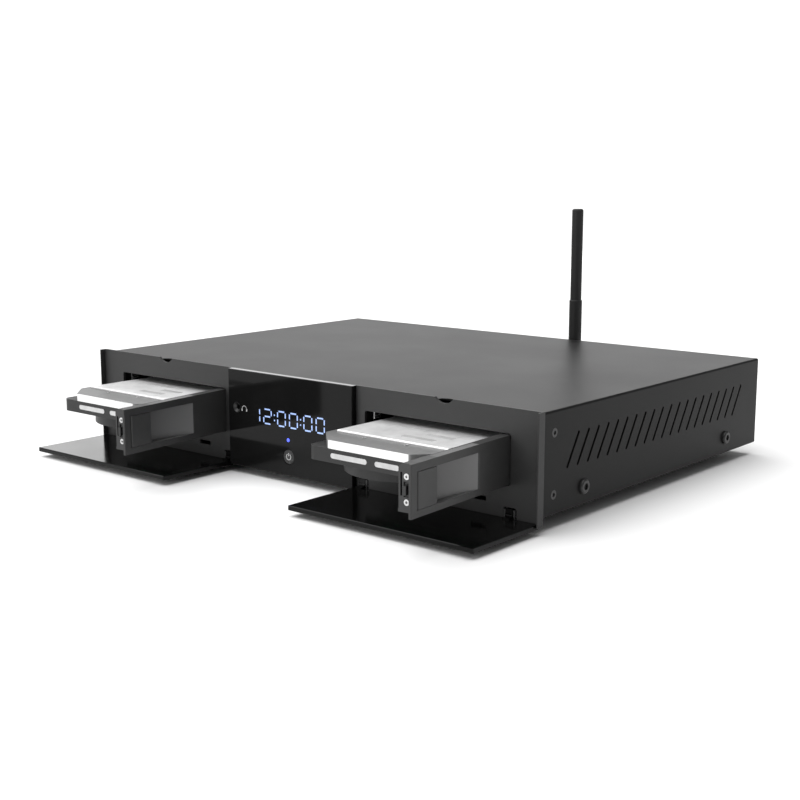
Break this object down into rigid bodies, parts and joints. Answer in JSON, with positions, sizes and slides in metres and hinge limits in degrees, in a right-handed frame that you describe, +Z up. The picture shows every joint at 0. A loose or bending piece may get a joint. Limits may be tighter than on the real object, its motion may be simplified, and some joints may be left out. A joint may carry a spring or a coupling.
{
  "type": "media player with hard drive trays",
  "caption": "Wide low media player with drop-down flap doors, latched swing doors, sliding hard drives, clock display, sprung power button and folding aerial.",
  "frame": {"origin": "on the surface that the feet stand on, under the middle of the whole with its drives, doors and aerial as they stand", "axes": "+X to the right along the front panel, +Y from the front panel to the back, +Z up"},
  "size_m": [0.43, 0.4366, 0.1882],
  "materials": {
    "panel": "fine satin, dark grey",
    "window": "dark gloss",
    "lit_bars": "pale blue light",
    "light": "blue light",
    "case": "satin grey powder coat",
    "flap": "fine matt, near black",
    "rack": "matt black",
    "swing": "satin dark grey",
    "lever": "satin dark grey",
    "steel": "bright zinc",
    "dark_steel": "blackened steel",
    "drive_cover": "bright satin",
    "drive_casting": "dark cast",
    "circuit_board": "green lacquer",
    "module": "dark",
    "black_plastic": "fine matt",
    "heat_sink": "extruded",
    "socket_metal": "nickel",
    "brass": "bright",
    "rubber": "matt"
  },
  "bodies": {
    "root": {"aerial_socket": "brass", "audio_sockets": "black_plastic", "base_pan": "case", "control_board": "circuit_board", "cover_screws": "steel", "display_module": "module", "display_segments": "lit_bars", "display_window": "window", "feet": "rubber", "front_panel": "panel", "headphone_jack": "black_plastic", "left_catch_spring": "steel", "left_flap_hinge_brackets": "dark_steel", "left_flap_hinge_pins": "steel", "left_rack_backplane": "circuit_board", "left_rack_bridge": "steel", "left_rack_cage": "rack", "left_rack_rings": "rubber", "left_swing_pin": "steel", "main_board": "circuit_board", "mains_inlet": "black_plastic", "panel_screws": "steel", "power_supply_board": "circuit_board", "power_supply_parts": "module", "processor_heatsink": "heat_sink", "rear_panel": "case", "rear_sockets": "socket_metal", "right_catch_spring": "steel", "right_flap_hinge_brackets": "dark_steel", "right_flap_hinge_pins": "steel", "right_rack_backplane": "circuit_board", "right_rack_bridge": "steel", "right_rack_cage": "rack", "right_rack_rings": "rubber", "right_swing_pin": "steel", "status_light": "light", "top_cover": "case"},
    "left_flap": {"left_flap_door": "flap"},
    "left_swing": {"left_swing_door": "swing", "left_lever_pin": "steel", "left_end_screws": "steel"},
    "left_lever": {"left_latch_lever": "lever"},
    "left_tongue": {"left_latch_tongue": "black_plastic"},
    "left_drive": {"left_drive_base": "drive_casting", "left_drive_cover": "drive_cover", "left_drive_board": "circuit_board"},
    "right_flap": {"right_flap_door": "flap"},
    "right_swing": {"right_swing_door": "swing", "right_lever_pin": "steel", "right_end_screws": "steel"},
    "right_lever": {"right_latch_lever": "lever"},
    "right_tongue": {"right_latch_tongue": "black_plastic"},
    "right_drive": {"right_drive_base": "drive_casting", "right_drive_cover": "drive_cover", "right_drive_board": "circuit_board"},
    "power_button": {"power_button": "window"},
    "aerial_foot_body": {"aerial_foot": "black_plastic", "aerial_pin": "steel"},
    "aerial_rod_body": {"aerial_rod": "black_plastic"}
  },
  "joints": [
    {"name": "left_flap_hinge", "type": "hinge", "parent": "root", "child": "left_flap", "pos_m": [-0.1379, -0.1134, 0.009], "axis": [-1, 0, 0], "range_deg": [0, 15]},
    {"name": "left_swing_hinge", "type": "hinge", "parent": "root", "child": "left_swing", "pos_m": [-0.0763, -0.1073, 0.04475], "axis": [0, 0, 1], "range_deg": [-5.5, 1]},
    {"name": "left_lever_hinge", "type": "hinge", "parent": "left_swing", "child": "left_lever", "pos_m": [-0.06308, -0.20699, 0.0455], "axis": [0, 0, -1], "range_deg": [0, 12.1], "stiffness_Nm_per_rad": 0.005},
    {"name": "left_tongue_slide", "type": "slide", "parent": "left_swing", "child": "left_tongue", "axis": [-0.0958, 0.9954, 0], "range_m": [0, 0.0024]},
    {"name": "left_drive_slide", "type": "slide", "parent": "root", "child": "left_drive", "axis": [0, 1, 0], "range_m": [-0.02, 0.0756]},
    {"name": "right_flap_hinge", "type": "hinge", "parent": "root", "child": "right_flap", "pos_m": [0.1379, -0.1134, 0.009], "axis": [-1, 0, 0], "range_deg": [0, 15]},
    {"name": "right_swing_hinge", "type": "hinge", "parent": "root", "child": "right_swing", "pos_m": [0.1845, -0.1073, 0.04475], "axis": [0, 0, 1], "range_deg": [-3, 3.5]},
    {"name": "right_lever_hinge", "type": "hinge", "parent": "right_swing", "child": "right_lever", "pos_m": [0.19335, -0.20747, 0.0455], "axis": [0, 0, -1], "range_deg": [0, 12.1], "stiffness_Nm_per_rad": 0.005},
    {"name": "right_tongue_slide", "type": "slide", "parent": "right_swing", "child": "right_tongue", "axis": [-0.0523, 0.9986, 0], "range_m": [0, 0.0024]},
    {"name": "right_drive_slide", "type": "slide", "parent": "root", "child": "right_drive", "axis": [0, 1, 0], "range_m": [-0.02, 0.0756]},
    {"name": "power_button_press", "type": "slide", "parent": "root", "child": "power_button", "axis": [0, 1, 0], "range_m": [0, 0.0008], "stiffness_N_per_m": 300},
    {"name": "aerial_swivel", "type": "hinge", "parent": "root", "child": "aerial_foot_body", "pos_m": [0.0286, 0.2127, 0.0675], "axis": [0, 1, 0], "range_deg": [-90, 90]},
    {"name": "aerial_fold", "type": "hinge", "parent": "aerial_foot_body", "child": "aerial_rod_body", "pos_m": [0.0286, 0.2127, 0.0675], "axis": [1, 0, 0], "range_deg": [-90, 0]}
  ],
  "couplings": [
    {"joint": "left_lever_hinge", "follows": "left_tongue_slide", "rad_per_m": 87.266},
    {"joint": "right_lever_hinge", "follows": "right_tongue_slide", "rad_per_m": 87.266}
  ]
}
